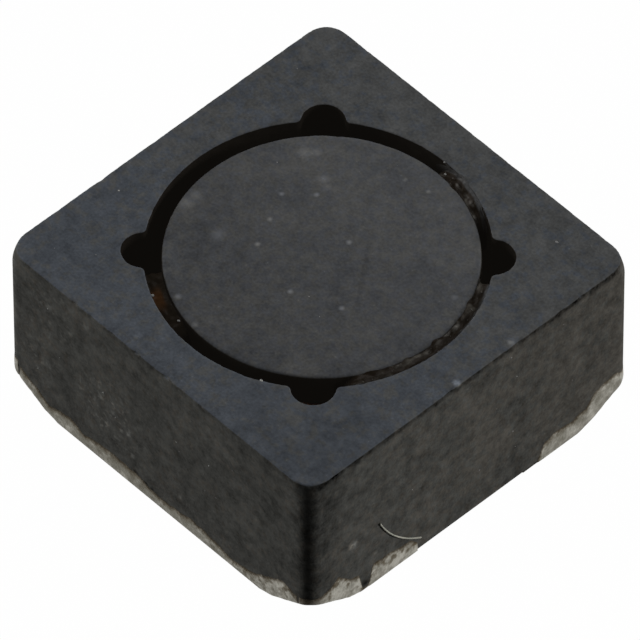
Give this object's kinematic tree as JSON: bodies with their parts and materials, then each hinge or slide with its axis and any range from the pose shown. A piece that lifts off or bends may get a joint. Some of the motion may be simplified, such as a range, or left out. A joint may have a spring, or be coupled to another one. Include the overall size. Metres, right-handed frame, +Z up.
{
  "type": "smd inductor",
  "caption": "Square shielded surface-mount power inductor: a wire-wound ferrite drum glued inside a notched ferrite ring, with plated terminals along its bottom edges.",
  "frame": {"origin": "on the board plane, under the middle of the square ferrite ring", "axes": "+Z up out of the board; the two terminals lie along the edges towards -Y and +Y"},
  "size_m": [0.0052, 0.0052, 0.0025],
  "materials": {
    "ring_ferrite": "matt sintered ferrite, dark grey",
    "drum_ferrite": "matt ground ferrite, dark grey",
    "enamelled_copper": "glossy enamel over copper",
    "tin_plating": "dull tin over silver",
    "solder": "satin solder",
    "adhesive": "glossy dark brown resin"
  },
  "bodies": {
    "root": {"shield_ring": "ring_ferrite", "drum_core": "drum_ferrite", "winding": "enamelled_copper", "start_terminal": "tin_plating", "finish_terminal": "tin_plating", "start_solder": "solder", "finish_solder": "solder", "adhesive_bead_1": "adhesive", "adhesive_bead_2": "adhesive", "adhesive_bead_3": "adhesive"}
  },
  "joints": []
}
